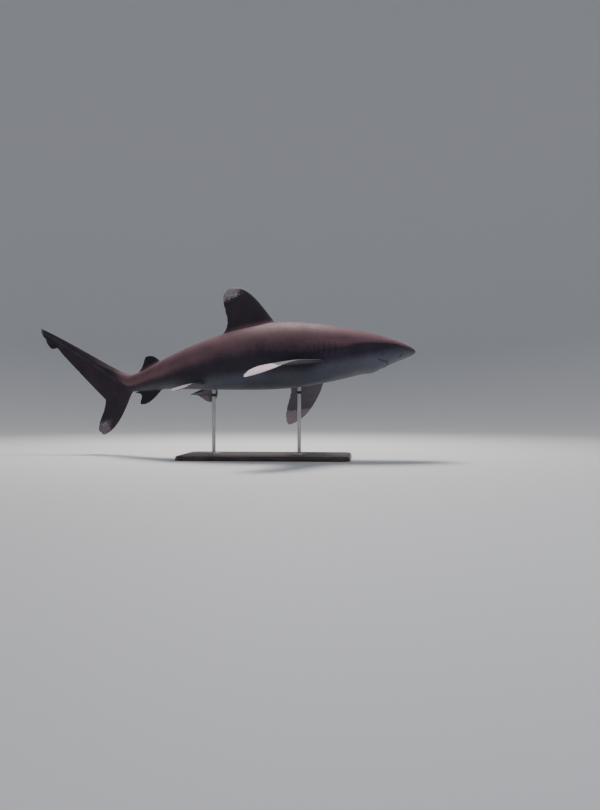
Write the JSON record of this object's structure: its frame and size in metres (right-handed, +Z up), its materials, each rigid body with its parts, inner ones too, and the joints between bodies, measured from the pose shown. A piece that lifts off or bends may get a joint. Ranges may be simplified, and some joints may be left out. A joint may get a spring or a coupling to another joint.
{
  "type": "oceanic whitetip shark display model",
  "caption": "Life-size whitetip shark in a banked left turn, head and tail bent the same way, broad paddle fins with pale tips, held over a flat board by short upright rods.",
  "frame": {"origin": "centre of the underside of the stand's board, on the surface it stands on", "axes": "+X along the trunk towards the head, +Z up, so the fish's left side faces +Y; the fish itself is bent to its left, leans 12 degrees to its left and points 4.6 degrees up"},
  "size_m": [2.2809, 1.2129, 0.9447],
  "materials": {
    "skin": "shark skin: bronze grey back, paler flank, near-white belly, white mottled fin tips",
    "eye": "dark, wet",
    "stand_board": "dark stained, satin",
    "stand_steel": "brushed"
  },
  "bodies": {
    "root": {"head": "skin", "lower_jaw": "skin", "trunk": "skin", "tail_stalk": "skin", "tail_lobe_upper": "skin", "tail_lobe_lower": "skin", "fin_dorsal_first": "skin", "fin_dorsal_second": "skin", "fin_anal": "skin", "fin_pectoral_left": "skin", "fin_pectoral_right": "skin", "fin_pelvic_left": "skin", "fin_pelvic_right": "skin", "eye_left": "eye", "eye_right": "eye", "stand_base": "stand_board", "stand_flange_front": "stand_steel", "stand_flange_rear": "stand_steel", "stand_rod_front": "stand_steel", "stand_rod_rear": "stand_steel"}
  },
  "joints": []
}
